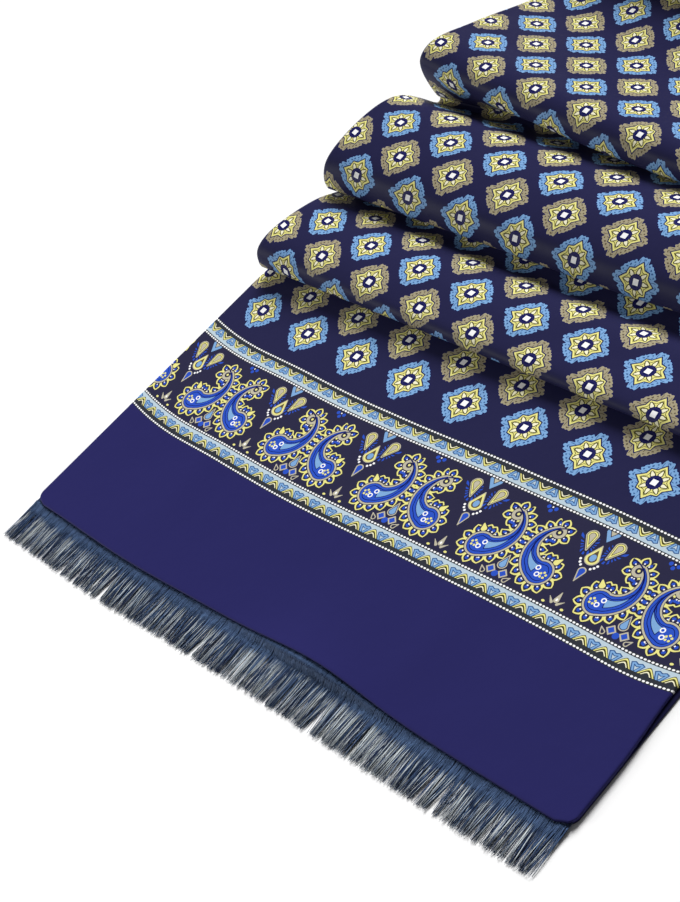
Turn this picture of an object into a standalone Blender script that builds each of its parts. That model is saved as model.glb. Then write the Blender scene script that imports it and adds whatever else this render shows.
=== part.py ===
"""A silk scarf of two panels, sewn together all round, with a fringe at each end.

It lies on a table. One end is flat, then the cloth is pushed into six soft folds that run
across its width and lean towards that end, and the other end is flat again.
X runs across the scarf, Y along it and Z up. The origin is on the table, at the middle.
Sizes in this file are in millimetres, and MM turns them into metres where a mesh is made.
"""

import math

import bmesh
import bpy
import numpy as np

MM = 0.001

# The finished scarf
SCARF_WIDTH = 300.0
SCARF_LENGTH = 1400.0
WALL = 1.0
SEAM_GAP = 0.3
CLOTH = 2 * WALL + SEAM_GAP

# The folds. Each one turns up out of a pocket, leans forward to its nose, rounds over its
# crest and comes down its back to land on the table. "_up" is the height of the printed side
# above where it lies flat. The other columns are distances from the near hem.
FOLD_COLUMNS = ("pocket", "nose", "nose_up", "crest", "crest_up", "back", "back_up", "land")
FOLDS_AT_LEFT = (
    (149, 145, 5.5, 154, 16, 185, 10.5, 203),
    (208, 192, 9.5, 217, 25, 245, 20, 264),
    (269, 264.5, 20, 275, 29, 302, 18, 348),
)
FOLDS_AT_RIGHT = (
    (153.5, 144, 5.2, 154, 10.5, 182, 4, 190),
    (207, 193, 5, 220, 14, 243, 9.5, 266),
    (277, 254.5, 6.5, 263, 14.5, 283, 6.5, 304),
)
# How soon across the width the folds turn from their left sizes to their right ones
SIDE_EASE = 2.5
# The later folds share one shape: a pocket and a height at the left, then at the right
PLAIN_FOLDS = (
    (386, 19, 370, 25),
    (449, 18, 441, 27),
    (512, 15, 511, 23),
)
PLAIN_NOSE_LEAN = 13.0
PLAIN_NOSE_SHARE = 0.6
PLAIN_CREST_AFTER = 7.0
PLAIN_BACK_AFTER = 33.0
PLAIN_BACK_SHARE = 0.72
PLAIN_LAND_AFTER = 57.0

# The turn inside a pocket, and the brow between a nose and its crest
POCKET_RADIUS = 0.9
POCKET_FLOOR = 2.0
FLAT_BEFORE_FOLDS = 12.0
BROW_ALONG = 0.17
BROW_UP = 0.7

# Sections along the cloth, from one named point to the next
STEPS_ON_TABLE = 1
STEPS_IN_TURN = 1
STEPS_UNDER_NOSE = 2
STEPS_OVER_NOSE = 2
STEPS_OVER_BROW = 2
STEPS_DOWN_BACK = 2
STEPS_TO_LAND = 3
NEAR_FLAT_STEPS = 4
FAR_FLAT_STEPS = 10
COLUMNS = 7

# How far the plain back panel shows past the printed one, and over which stretch it comes out
LEFT_PEEK = 1.2
LEFT_PEEK_START = 140.0
LEFT_PEEK_FULL = 160.0
RIGHT_PEEK = 2.0
RIGHT_PEEK_START = 25.0
RIGHT_PEEK_FULL = 60.0

# The fringe: its strands gather towards the middle of each lock
STRANDS = 118
STRANDS_IN_LOCK = 6
LOCK_GATHER = 0.3
BEND_GATHER = 0.12
HEADER_DEPTH = 5.0
HEADER_HEIGHT = 1.4
STRAND_REACH = 15.0
SHORTEST_STRAND = 0.72
ROOT_SHARE = 0.56
BEND_SHARE = 0.8
STRAND_FLOOR = 0.2
STRAND_HEIGHT = 0.9
TIP_HEIGHT = 0.4
STRAND_SEED = 7

NAVY = (0.020, 0.018, 0.105, 1.0)
BACK_NAVY = (0.012, 0.011, 0.060, 1.0)
FRINGE_BLUE = (0.070, 0.120, 0.200, 1.0)
SILK_ROUGHNESS = 0.35
FRINGE_ROUGHNESS = 0.5
SHARP_ANGLE = math.radians(40)


def clear_scene():
    """Remove whatever the file opened with."""
    for thing in list(bpy.data.objects):
        bpy.data.objects.remove(thing, do_unlink=True)


def silk(name, colour, roughness):
    """A plain satin material."""
    material = bpy.data.materials.new(name)
    material.use_nodes = True
    shader = material.node_tree.nodes["Principled BSDF"]
    shader.inputs["Base Color"].default_value = colour
    shader.inputs["Roughness"].default_value = roughness
    shader.inputs["Metallic"].default_value = 0.0
    return material


def ramp(value, start, end):
    """0 before start, 1 past end, and smooth between them."""
    share = min(1.0, max(0.0, (value - start) / (end - start)))
    return share * share * (3.0 - 2.0 * share)


def place(x, y, z):
    """A point in metres, from its distances from the left edge, the near hem and the table."""
    return ((x - SCARF_WIDTH / 2) * MM, (y - MIDDLE_Y) * MM, z * MM)


def finished(name, mesh, material):
    """Turn a bmesh into a named object with its material."""
    bmesh.ops.recalc_face_normals(mesh, faces=mesh.faces)
    data = bpy.data.meshes.new(name)
    mesh.to_mesh(data)
    mesh.free()
    data.materials.append(material)
    data.shade_smooth()
    data.set_sharp_from_angle(angle=SHARP_ANGLE)
    thing = bpy.data.objects.new(name, data)
    bpy.context.collection.objects.link(thing)
    return thing


# ---------------------------------------------------------------- the folds


def plain_fold(pocket, height):
    """A fold of the shared plain shape, as a row of FOLD_COLUMNS."""
    return (
        pocket,
        pocket - PLAIN_NOSE_LEAN,
        height * PLAIN_NOSE_SHARE,
        pocket + PLAIN_CREST_AFTER,
        height,
        pocket + PLAIN_BACK_AFTER,
        height * PLAIN_BACK_SHARE,
        pocket + PLAIN_LAND_AFTER,
    )


def folds_at(across):
    """Every fold's sizes at a share of the width, from 0 at the left edge to 1 at the right."""
    eased = 1.0 - (1.0 - across) ** SIDE_EASE
    left = np.array(FOLDS_AT_LEFT, dtype=float)
    right = np.array(FOLDS_AT_RIGHT, dtype=float)
    rows = list(left + (right - left) * eased)
    for pocket_left, height_left, pocket_right, height_right in PLAIN_FOLDS:
        row_left = np.array(plain_fold(pocket_left, height_left))
        row_right = np.array(plain_fold(pocket_right, height_right))
        rows.append(row_left + (row_right - row_left) * across)
    return [dict(zip(FOLD_COLUMNS, row)) for row in rows]


def named_points(across):
    """The printed side's named points (y, up) at this share of the width, from the near hem to
    where the last fold lands. Each has the number of sections that lead to the next one."""
    turn = POCKET_RADIUS
    slant = turn * math.sqrt(0.5)
    folds = folds_at(across)
    last_flat = folds[0]["pocket"] - FLAT_BEFORE_FOLDS
    points = [(0.0, 0.0, NEAR_FLAT_STEPS), (last_flat, 0.0, STEPS_ON_TABLE)]
    for fold in folds:
        centre = fold["pocket"] - turn
        rise = fold["crest_up"] - fold["nose_up"]
        brow = fold["nose"] + BROW_ALONG * (fold["crest"] - fold["nose"])
        brow_up = fold["nose_up"] + BROW_UP * rise
        points += [
            (centre - POCKET_FLOOR, 0.0, STEPS_IN_TURN),
            (centre, 0.0, STEPS_IN_TURN),
            (centre + slant, turn - slant, STEPS_IN_TURN),
            (centre + turn, turn, STEPS_IN_TURN),
            (centre + slant, turn + slant, STEPS_IN_TURN),
            (centre, 2 * turn, STEPS_UNDER_NOSE),
            (fold["nose"], fold["nose_up"], STEPS_OVER_NOSE),
            (brow, brow_up, STEPS_OVER_BROW),
            (fold["crest"], fold["crest_up"], STEPS_DOWN_BACK),
            (fold["back"], fold["back_up"], STEPS_TO_LAND),
            (fold["land"], 0.0, STEPS_ON_TABLE),
        ]
    return points


def curve_through(points):
    """A smooth curve through the named points, as a centripetal Catmull-Rom spline, which is
    kept from dipping below where the cloth lies flat."""
    knots = np.array([point[:2] for point in points], dtype=float)
    before = 2 * knots[0] - knots[1]
    after = 2 * knots[-1] - knots[-2]
    ring = np.vstack([before, knots, after])
    curve = []
    for i, (_, _, steps) in enumerate(points[:-1]):
        p0, p1, p2, p3 = ring[i : i + 4]
        t0 = 0.0
        t1 = t0 + math.sqrt(np.linalg.norm(p1 - p0))
        t2 = t1 + math.sqrt(np.linalg.norm(p2 - p1))
        t3 = t2 + math.sqrt(np.linalg.norm(p3 - p2))
        for step in range(steps):
            t = t1 + (t2 - t1) * step / steps
            a1 = p0 + (p1 - p0) * (t - t0) / (t1 - t0)
            a2 = p1 + (p2 - p1) * (t - t1) / (t2 - t1)
            a3 = p2 + (p3 - p2) * (t - t2) / (t3 - t2)
            b1 = a1 + (a2 - a1) * (t - t0) / (t2 - t0)
            b2 = a2 + (a3 - a2) * (t - t1) / (t3 - t1)
            curve.append(b1 + (b2 - b1) * (t - t1) / (t2 - t1))
    curve.append(knots[-1])
    curve = np.array(curve)
    curve[:, 1] = np.maximum(curve[:, 1], 0.0)
    return curve


def lengths_along(curve):
    """The length of cloth from the near hem to each section."""
    runs = np.linalg.norm(np.diff(curve, axis=0), axis=1)
    return np.concatenate([[0.0], np.cumsum(runs)])


def find_far_hem():
    """The far hem lies past the folds by the cloth that they leave over at mid-width."""
    curve = curve_through(named_points(0.5))
    return curve[-1][0] + SCARF_LENGTH - lengths_along(curve)[-1]


def section_line(across):
    """The printed side from hem to hem at a share of the width: its (y, up) points, and the
    direction that the cloth faces at each."""
    curve = curve_through(named_points(across))
    landed = curve[-1][0]
    step = (FAR_HEM - landed) / FAR_FLAT_STEPS
    flat = [(landed + step * (i + 1), 0.0) for i in range(FAR_FLAT_STEPS)]
    curve = np.vstack([curve, flat])
    unit = np.diff(curve, axis=0)
    unit /= np.linalg.norm(unit, axis=1)[:, None]
    along = np.vstack([unit[:1], unit[:-1] + unit[1:], unit[-1:]])
    along /= np.linalg.norm(along, axis=1)[:, None]
    facing = np.stack([-along[:, 1], along[:, 0]], axis=1)
    return curve, facing


# ---------------------------------------------------------------- the two panels


def peeks(length):
    """How far the back panel shows past the front one at the left and the right edge."""
    left = LEFT_PEEK * ramp(length, LEFT_PEEK_START, LEFT_PEEK_FULL)
    right = RIGHT_PEEK * ramp(length, RIGHT_PEEK_START, RIGHT_PEEK_FULL)
    return left, right


def panel_face(mesh, depth, full_width):
    """The vertices of one face of a panel, at a depth below the printed side."""
    columns = []
    for column in range(COLUMNS):
        across = column / (COLUMNS - 1)
        curve, facing = section_line(across)
        face = curve - facing * depth
        line = []
        for (y, up), length in zip(face, lengths_along(curve)):
            left, right = (0.0, 0.0) if full_width else peeks(length)
            x = left + (SCARF_WIDTH - left - right) * across
            line.append(mesh.verts.new(place(x, y, up + CLOTH)))
        columns.append(line)
    return columns


def make_panel(name, top_depth, full_width, material):
    """One panel: a closed wall between its upper and its lower face. Each square of the wall is
    cut along the same diagonal, so that the two panels stay parallel."""
    mesh = bmesh.new()
    top = panel_face(mesh, top_depth, full_width)
    bottom = panel_face(mesh, top_depth + WALL, full_width)
    last = len(top[0]) - 1

    def square(a, b, c, d):
        mesh.faces.new((a, b, c))
        mesh.faces.new((a, c, d))

    for i in range(COLUMNS - 1):
        for j in range(last):
            square(top[i][j], top[i + 1][j], top[i + 1][j + 1], top[i][j + 1])
            square(bottom[i][j], bottom[i + 1][j], bottom[i + 1][j + 1], bottom[i][j + 1])
        square(top[i][0], top[i + 1][0], bottom[i + 1][0], bottom[i][0])
        square(top[i][last], top[i + 1][last], bottom[i + 1][last], bottom[i][last])
    for j in range(last):
        square(top[0][j], top[0][j + 1], bottom[0][j + 1], bottom[0][j])
        square(top[-1][j], top[-1][j + 1], bottom[-1][j + 1], bottom[-1][j])
    return finished(name, mesh, material)


# ---------------------------------------------------------------- the fringes


def make_fringe(name, hem, outward, material):
    """A header strip along a hem, and the strands that grow out of its outer face.
    outward is -1 at the near hem and 1 at the far one."""
    chance = np.random.default_rng(STRAND_SEED)
    pitch = SCARF_WIDTH / STRANDS
    half = pitch * ROOT_SHARE / 2
    edges = [0.0]
    for strand in range(STRANDS):
        middle = (strand + 0.5) * pitch
        edges += [middle - half, middle + half]
    edges.append(SCARF_WIDTH)
    mesh = bmesh.new()

    def line(depth, height):
        return [mesh.verts.new(place(x, hem + outward * depth, height)) for x in edges]

    inner_low = line(SEAM_GAP, 0.0)
    inner_high = line(SEAM_GAP, HEADER_HEIGHT)
    outer_low = line(HEADER_DEPTH, 0.0)
    outer_high = line(HEADER_DEPTH, HEADER_HEIGHT)
    for end in (0, -1):
        mesh.faces.new((inner_low[end], outer_low[end], outer_high[end], inner_high[end]))
    for i in range(len(edges) - 1):
        mesh.faces.new((inner_low[i], inner_low[i + 1], outer_low[i + 1], outer_low[i]))
        mesh.faces.new((inner_high[i], inner_high[i + 1], outer_high[i + 1], outer_high[i]))
        mesh.faces.new((inner_low[i], inner_low[i + 1], inner_high[i + 1], inner_high[i]))
        root = (outer_low[i], outer_low[i + 1], outer_high[i + 1], outer_high[i])
        if i % 2 == 0:
            mesh.faces.new(root)
        else:
            grow_strand(mesh, root, i // 2, pitch, half, hem, outward, chance)
    return finished(name, mesh, material)


def grow_strand(mesh, root, strand, pitch, half, hem, outward, chance):
    """One strand of four sides: from its root on the header, through a bend, to its point."""
    lock, in_lock = divmod(strand, STRANDS_IN_LOCK)
    middle = (strand + 0.5) * pitch
    lock_middle = min((lock + 0.5) * STRANDS_IN_LOCK * pitch, SCARF_WIDTH)
    longest = in_lock == STRANDS_IN_LOCK // 2
    reach = STRAND_REACH * (1.0 if longest else chance.uniform(SHORTEST_STRAND, 1.0))
    bend = middle + (lock_middle - middle) * BEND_GATHER
    tip_x = middle + (lock_middle - middle) * LOCK_GATHER
    bend_y = hem + outward * (HEADER_DEPTH + reach / 2)
    tip_y = hem + outward * (HEADER_DEPTH + reach)
    side = half * BEND_SHARE
    high = STRAND_FLOOR + STRAND_HEIGHT
    ring = [
        mesh.verts.new(place(bend - side, bend_y, STRAND_FLOOR)),
        mesh.verts.new(place(bend + side, bend_y, STRAND_FLOOR)),
        mesh.verts.new(place(bend + side, bend_y, high)),
        mesh.verts.new(place(bend - side, bend_y, high)),
    ]
    tip = mesh.verts.new(place(tip_x, tip_y, TIP_HEIGHT))
    for k in range(4):
        after = (k + 1) % 4
        mesh.faces.new((root[k], root[after], ring[after], ring[k]))
        mesh.faces.new((ring[k], ring[after], tip))


clear_scene()
FAR_HEM = find_far_hem()
MIDDLE_Y = FAR_HEM / 2
make_panel("front_panel", 0.0, False, silk("printed_silk", NAVY, SILK_ROUGHNESS))
make_panel("back_panel", WALL + SEAM_GAP, True, silk("plain_silk", BACK_NAVY, SILK_ROUGHNESS))
fringe_silk = silk("fringe_silk", FRINGE_BLUE, FRINGE_ROUGHNESS)
make_fringe("fringe_near", 0.0, -1, fringe_silk)
make_fringe("fringe_far", FAR_HEM, 1, fringe_silk)
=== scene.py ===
"""The looks of a printed silk scarf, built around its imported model.

Sizes are in millimetres unless a name says otherwise, and MM turns them into the frame's metres.
A point of the cloth has two names for its place: x, its distance from the left edge, and s, its
distance along the cloth from the near hem. On the table, y is its distance from the near hem.
"""

import math
from functools import reduce

import bmesh
import bpy
import numpy as np
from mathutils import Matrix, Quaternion, Vector


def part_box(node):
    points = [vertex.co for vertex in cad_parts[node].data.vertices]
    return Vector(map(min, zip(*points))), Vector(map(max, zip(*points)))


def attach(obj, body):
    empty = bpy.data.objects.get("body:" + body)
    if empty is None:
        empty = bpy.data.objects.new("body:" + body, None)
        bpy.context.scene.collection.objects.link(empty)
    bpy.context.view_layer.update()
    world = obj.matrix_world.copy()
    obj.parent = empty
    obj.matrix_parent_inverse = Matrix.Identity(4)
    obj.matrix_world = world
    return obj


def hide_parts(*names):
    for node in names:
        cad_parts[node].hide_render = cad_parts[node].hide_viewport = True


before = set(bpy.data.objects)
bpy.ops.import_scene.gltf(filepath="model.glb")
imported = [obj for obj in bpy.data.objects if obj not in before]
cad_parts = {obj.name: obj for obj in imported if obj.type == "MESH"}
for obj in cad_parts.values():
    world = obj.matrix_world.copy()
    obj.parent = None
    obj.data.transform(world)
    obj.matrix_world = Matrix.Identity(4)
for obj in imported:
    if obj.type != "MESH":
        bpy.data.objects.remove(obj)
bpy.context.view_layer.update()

MM = 0.001

# ---------------------------------------------------------------- sizes

# The panels' corners come from the frame
panel_low, panel_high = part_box("back_panel")
SCARF_WIDTH = (panel_high.x - panel_low.x) / MM
LEFT_EDGE_X = panel_low.x
NEAR_HEM_Y = panel_low.y
FAR_HEM = (panel_high.y - panel_low.y) / MM
SCARF_LENGTH = 1400.0
CLOTH = 2.3

# The folds, a little closer to the photo than the solids have them. "_up" is a height above
# the flat printed side, and the other columns are distances from the near hem. The sizes
# began as a fit to places measured on the photo, and were rounded and changed.
FOLD_COLUMNS = ("pocket", "nose", "nose_up", "crest", "crest_up", "back", "back_up", "land")
FOLDS_AT_LEFT = (
    (149, 145, 4.2, 155, 15, 185, 10, 205),
    (209, 193, 9.3, 217.5, 24.7, 246.5, 20.3, 266),
    (269, 265, 18.5, 276, 28.3, 303.5, 19, 354),
)
FOLDS_AT_RIGHT = (
    (158, 145.5, 4.0, 154.5, 7.2, 181, 4.3, 189),
    (209.5, 197, 3.2, 223, 15.5, 242, 9, 267.5),
    (276.5, 253.7, 5, 263.3, 15.2, 284, 6.7, 305),
)
SIDE_EASE = 2.5
PLAIN_FOLDS = (
    (386, 19, 370, 25),
    (449, 18, 441, 27),
    (512, 15, 511, 23),
)
PLAIN_NOSE_LEAN = 13.0
PLAIN_NOSE_SHARE = 0.6
PLAIN_CREST_AFTER = 7.0
PLAIN_BACK_AFTER = 33.0
PLAIN_BACK_SHARE = 0.72
PLAIN_LAND_AFTER = 57.0
POCKET_RADIUS = 0.9
POCKET_FLOOR = 2.0
FLAT_BEFORE_FOLDS = 12.0
BROW_ALONG = 0.17
BROW_UP = 0.7

# The section curve is sampled, softened and then cut into rows
CURVE_STEPS = 24
CURVE_PITCH = 0.25
CURVE_SOFTNESS = 1.3
SOFTENING_REACH = 4
ROW_TURN = 0.5
ROW_NOSE = 1.6
ROW_BACK = 3.2
ROW_FLAT = 6.0
COLUMN_PITCH = 4.4

# The two panels of silk. They lie closer together in the folds than on the table.
FRONT_WALL = 0.8
BACK_WALL = 0.8
TAKE_UP = 0.75
TAKE_UP_HEIGHT = 6.0
RIM_RADIUS = 0.8
RIM_STEPS = (0.0, 0.12, 0.4, 0.8, 1.8)
# How far the upper and the lower face of each panel turns in at its rims
FRONT_TURNS = (0.35, -0.1)
BACK_TURNS = (0.25, -0.25)
# The front wall is thick within the first of these distances from a side edge, down to a
# small gap over the back one, and as thin as elsewhere past the second
THICK_RIM = (0.5, 3.0)
RIM_GAP = 0.1
LEFT_PEEK = 1.2
LEFT_PEEK_START = 140.0
LEFT_PEEK_FULL = 160.0
RIGHT_PEEK = 2.0
RIGHT_PEEK_START = 25.0
RIGHT_PEEK_FULL = 60.0
CORNER_RADIUS = 6.0
CORNER_FADE = 9.0
UNDERSIDE = 0.02


def srgb(red, green, blue):
    """A colour given as a screen shows it, 0 to 255, for a shader."""

    def linear(value):
        share = value / 255
        return share / 12.92 if share <= 0.04045 else ((share + 0.055) / 1.055) ** 2.4

    return (linear(red), linear(green), linear(blue), 1.0)


def ramp(value, start, end):
    """0 before start, 1 past end, and smooth between them."""
    share = np.clip((np.asarray(value, float) - start) / (end - start), 0.0, 1.0)
    return share * share * (3.0 - 2.0 * share)


def bell(value, middle, half_width):
    """1 at the middle, falling away smoothly on both sides."""
    return np.exp(-(((np.asarray(value, float) - middle) / half_width) ** 2))


# ---------------------------------------------------------------- the folds


def plain_fold(pocket, height):
    """A fold of the shared plain shape, as a row of FOLD_COLUMNS."""
    return (
        pocket,
        pocket - PLAIN_NOSE_LEAN,
        height * PLAIN_NOSE_SHARE,
        pocket + PLAIN_CREST_AFTER,
        height,
        pocket + PLAIN_BACK_AFTER,
        height * PLAIN_BACK_SHARE,
        pocket + PLAIN_LAND_AFTER,
    )


def folds_at(across):
    """Every fold's sizes at a share of the width, from 0 at the left edge to 1 at the right."""
    eased = 1.0 - (1.0 - across) ** SIDE_EASE
    left = np.array(FOLDS_AT_LEFT, dtype=float)
    right = np.array(FOLDS_AT_RIGHT, dtype=float)
    rows = list(left + (right - left) * eased)
    for pocket_left, height_left, pocket_right, height_right in PLAIN_FOLDS:
        row_left = np.array(plain_fold(pocket_left, height_left))
        row_right = np.array(plain_fold(pocket_right, height_right))
        rows.append(row_left + (row_right - row_left) * across)
    return [dict(zip(FOLD_COLUMNS, row)) for row in rows]


def named_points(across):
    """The printed side's named points (y, up) from hem to hem at a share of the width, each
    with the spacing of the rows that lead to the next one."""
    turn = POCKET_RADIUS
    slant = turn * math.sqrt(0.5)
    folds = folds_at(across)
    points = [(0.0, 0.0, ROW_FLAT), (folds[0]["pocket"] - FLAT_BEFORE_FOLDS, 0.0, ROW_BACK)]
    for fold in folds:
        centre = fold["pocket"] - turn
        rise = fold["crest_up"] - fold["nose_up"]
        brow = fold["nose"] + BROW_ALONG * (fold["crest"] - fold["nose"])
        brow_up = fold["nose_up"] + BROW_UP * rise
        points += [
            (centre - POCKET_FLOOR, 0.0, ROW_TURN),
            (centre, 0.0, ROW_TURN),
            (centre + slant, turn - slant, ROW_TURN),
            (centre + turn, turn, ROW_TURN),
            (centre + slant, turn + slant, ROW_TURN),
            (centre, 2 * turn, ROW_NOSE),
            (fold["nose"], fold["nose_up"], ROW_NOSE),
            (brow, brow_up, ROW_NOSE),
            (fold["crest"], fold["crest_up"], ROW_BACK),
            (fold["back"], fold["back_up"], ROW_BACK),
            (fold["land"], 0.0, ROW_BACK),
        ]
    points[-1] = (folds[-1]["land"], 0.0, ROW_FLAT)
    points.append((FAR_HEM, 0.0, ROW_FLAT))
    return points


def sampled_curve(points):
    """A centripetal Catmull-Rom curve through the named points, closely sampled. It returns the
    samples and each named point's place among them."""
    knots = np.array([point[:2] for point in points], dtype=float)
    ring = np.vstack([2 * knots[0] - knots[1], knots, 2 * knots[-1] - knots[-2]])
    shares = np.arange(CURVE_STEPS) / CURVE_STEPS
    curve = []
    for i in range(len(knots) - 1):
        p0, p1, p2, p3 = ring[i : i + 4]
        t0 = 0.0
        t1 = t0 + math.sqrt(np.linalg.norm(p1 - p0))
        t2 = t1 + math.sqrt(np.linalg.norm(p2 - p1))
        t3 = t2 + math.sqrt(np.linalg.norm(p3 - p2))
        t = (t1 + (t2 - t1) * shares)[:, None]
        a1 = p0 + (p1 - p0) * (t - t0) / (t1 - t0)
        a2 = p1 + (p2 - p1) * (t - t1) / (t2 - t1)
        a3 = p2 + (p3 - p2) * (t - t2) / (t3 - t2)
        b1 = a1 + (a2 - a1) * (t - t0) / (t2 - t0)
        b2 = a2 + (a3 - a2) * (t - t1) / (t3 - t1)
        curve.append(b1 + (b2 - b1) * (t - t1) / (t2 - t1))
    curve = np.vstack([*curve, knots[-1:]])
    curve[:, 1] = np.maximum(curve[:, 1], 0.0)
    return curve, np.arange(len(knots)) * CURVE_STEPS


def lengths_along(curve):
    """The length of cloth from the near hem to each point of a section."""
    runs = np.linalg.norm(np.diff(curve, axis=0), axis=1)
    return np.concatenate([[0.0], np.cumsum(runs)])


def softened(curve, lengths):
    """The curve as a function of its length, evenly spaced and with its corners eased."""
    even = np.arange(0.0, lengths[-1], CURVE_PITCH)
    reach = int(SOFTENING_REACH * CURVE_SOFTNESS / CURVE_PITCH)
    kernel = bell(np.arange(-reach, reach + 1) * CURVE_PITCH, 0.0, CURVE_SOFTNESS)
    kernel /= kernel.sum()
    eased = []
    for column in curve.T:
        line = np.interp(even, lengths, column)
        before = 2 * line[0] - line[reach:0:-1]
        after = 2 * line[-1] - line[-2 : -reach - 2 : -1]
        eased.append(np.convolve(np.concatenate([before, line, after]), kernel, "valid"))
    return even, np.array(eased).T


def row_shares():
    """How many rows each stretch between named points takes, from its longest run."""
    counts = None
    for across in (0.0, 0.5, 1.0):
        points = named_points(across)
        curve, knots = sampled_curve(points)
        runs = np.diff(lengths_along(curve)[knots])
        needed = np.ceil(runs / np.array([point[2] for point in points[:-1]])).astype(int)
        counts = needed if counts is None else np.maximum(counts, needed)
    return counts


ROWS_BETWEEN = row_shares()


class Section:
    """The printed side from hem to hem at one share of the width: for each row, its point
    (y, up), the direction that it faces, and its length s along the cloth."""

    def __init__(self, across):
        curve, knots = sampled_curve(named_points(across))
        lengths = lengths_along(curve)
        even, eased = softened(curve, lengths)
        stops = lengths[knots]
        rows = [
            start + (end - start) * np.arange(count) / count
            for start, end, count in zip(stops[:-1], stops[1:], ROWS_BETWEEN)
        ]
        rows = np.concatenate([*rows, stops[-1:]])
        rim = np.array(RIM_STEPS)
        rows = np.concatenate([rim, rows[1:-1], stops[-1] - rim[::-1]])
        self.points = np.stack([np.interp(rows, even, eased[:, k]) for k in (0, 1)], axis=1)
        self.points[-1] = (FAR_HEM, 0.0)
        slope = np.gradient(eased, axis=0)
        slope = np.stack([np.interp(rows, even, slope[:, k]) for k in (0, 1)], axis=1)
        slope /= np.linalg.norm(slope, axis=1)[:, None]
        self.facing = np.stack([-slope[:, 1], slope[:, 0]], axis=1)
        # Past the folds the rows share out whatever cloth is left to the far hem
        landed = stops[-2]
        left_over = (SCARF_LENGTH - landed) / (stops[-1] - landed)
        self.s = np.where(rows > landed, landed + (rows - landed) * left_over, rows)


# ---------------------------------------------------------------- the cloth's small shapes

# Soft ridges and troughs in the cloth, each along a line from one place to another
CREASE_COLUMNS = ("x_from", "s_from", "x_to", "s_to", "half_width", "height")
CREASES = (
    (60, 20, 62, 118, 9, 0.5),
    (118, 60, 121, 128, 8, 0.5),
    (209, 10, 213, 70, 10, 0.6),
    (150, 8, 148, 52, 16, -0.4),
    (262, 12, 250, 60, 18, 0.5),
    (30, 14, 34, 60, 16, -0.4),
    (86, 96, 92, 140, 12, -0.4),
    (180, 92, 190, 144, 16, 0.5),
    (20, 168, 110, 176, 7, -0.5),
    (60, 196, 150, 188, 6, 0.5),
    (150, 186, 260, 200, 8, -0.6),
    (10, 252, 70, 262, 8, -0.6),
    (90, 262, 190, 246, 9, 0.7),
    (180, 276, 280, 262, 9, -0.6),
    (20, 352, 90, 360, 10, -0.7),
    (80, 378, 160, 366, 9, 0.6),
    (160, 352, 270, 372, 11, -0.7),
    (30, 486, 130, 498, 10, 0.7),
    (150, 494, 280, 480, 11, -0.8),
    (40, 590, 150, 602, 10, -0.7),
    (170, 600, 280, 586, 10, 0.7),
    (30, 700, 120, 690, 10, 0.7),
    (150, 690, 270, 704, 11, -0.7),
    (60, 840, 75, 1010, 14, 0.6),
    (190, 860, 170, 1060, 16, -0.5),
    (250, 900, 262, 1100, 14, 0.6),
    (110, 1080, 120, 1250, 13, 0.5),
    (40, 1150, 46, 1380, 15, -0.5),
    (215, 1180, 222, 1390, 14, 0.6),
)
CREASE_FADE = 18.0
# On the table a crease has this share of its height, and higher up it soon has all of it
CREASE_ON_TABLE = 0.55
CREASE_RISE = 2.0

# Where the near hem is lifted off its header and draws back, and where it bulges over it
LIFT_X = 178.0
LIFT_HALF_WIDTH = 34.0
LIFT_HEIGHT = 2.4
LIFT_FADE = 16.0
LIFT_DRAW = 2.8
BULGE_X = 66.0
BULGE_HALF_WIDTH = 40.0
BULGE_DRAW = -1.7
# The printed lines bend towards the folds close to the side edges. Between them the near
# border sags towards the hem and rises again: how far it moves, at which x, and how widely.
LEFT_BOW = 5.0
LEFT_BOW_WIDTH = 40.0
LEFT_BOW_ENDS = 400.0
RIGHT_BOW = 2.6
RIGHT_BOW_WIDTH = 26.0
SAG = (-1.9, 112.0, 50.0)
RISE = (0.6, 235.0, 30.0)
SAG_ENDS = 105.0
SHIFT_FADE = 60.0
# In the folds the cloth lies slightly aslant
PRINT_SLANT = 2.8
SLANT_LENGTH = 450.0
SLANT_CURVE = 1.7


def relief(x, s):
    """How far the small creases raise the cloth at (x, s)."""
    raised = np.zeros(np.broadcast(x, s).shape)
    for row in CREASES:
        crease = dict(zip(CREASE_COLUMNS, row))
        along_x = crease["x_to"] - crease["x_from"]
        along_s = crease["s_to"] - crease["s_from"]
        length = math.hypot(along_x, along_s)
        unit_x, unit_s = along_x / length, along_s / length
        off_x, off_s = x - crease["x_from"], s - crease["s_from"]
        along = off_x * unit_x + off_s * unit_s
        beside = off_x * unit_s - off_s * unit_x
        ends = ramp(along, -CREASE_FADE, CREASE_FADE)
        ends = ends * (1.0 - ramp(along, length - CREASE_FADE, length + CREASE_FADE))
        raised += crease["height"] * bell(beside, 0.0, crease["half_width"]) * ends
    return raised


def hem_lift(x, s):
    """The near hem's lift off the table, and how far it draws back from the fringe."""
    fade = np.exp(-s / LIFT_FADE)
    lifted = bell(x, LIFT_X, LIFT_HALF_WIDTH)
    bulging = bell(x, BULGE_X, BULGE_HALF_WIDTH)
    draw = LIFT_DRAW * lifted + BULGE_DRAW * bulging
    return LIFT_HEIGHT * lifted * fade, draw * fade


def print_shift(x, s):
    """How far the print at (x, s) has moved away from the near hem."""
    left = LEFT_BOW * np.clip(1.0 - x / LEFT_BOW_WIDTH, 0.0, 1.0) ** 2
    right = RIGHT_BOW * np.clip(1.0 - (SCARF_WIDTH - x) / RIGHT_BOW_WIDTH, 0.0, 1.0) ** 2
    rise = sum(height * bell(x, middle, half) for height, middle, half in (RISE, SAG))
    left = left * (1.0 - ramp(s, LEFT_BOW_ENDS, LEFT_BOW_ENDS + SHIFT_FADE))
    return left + (right + rise) * (1.0 - ramp(s, SAG_ENDS, SAG_ENDS + SHIFT_FADE))


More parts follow.
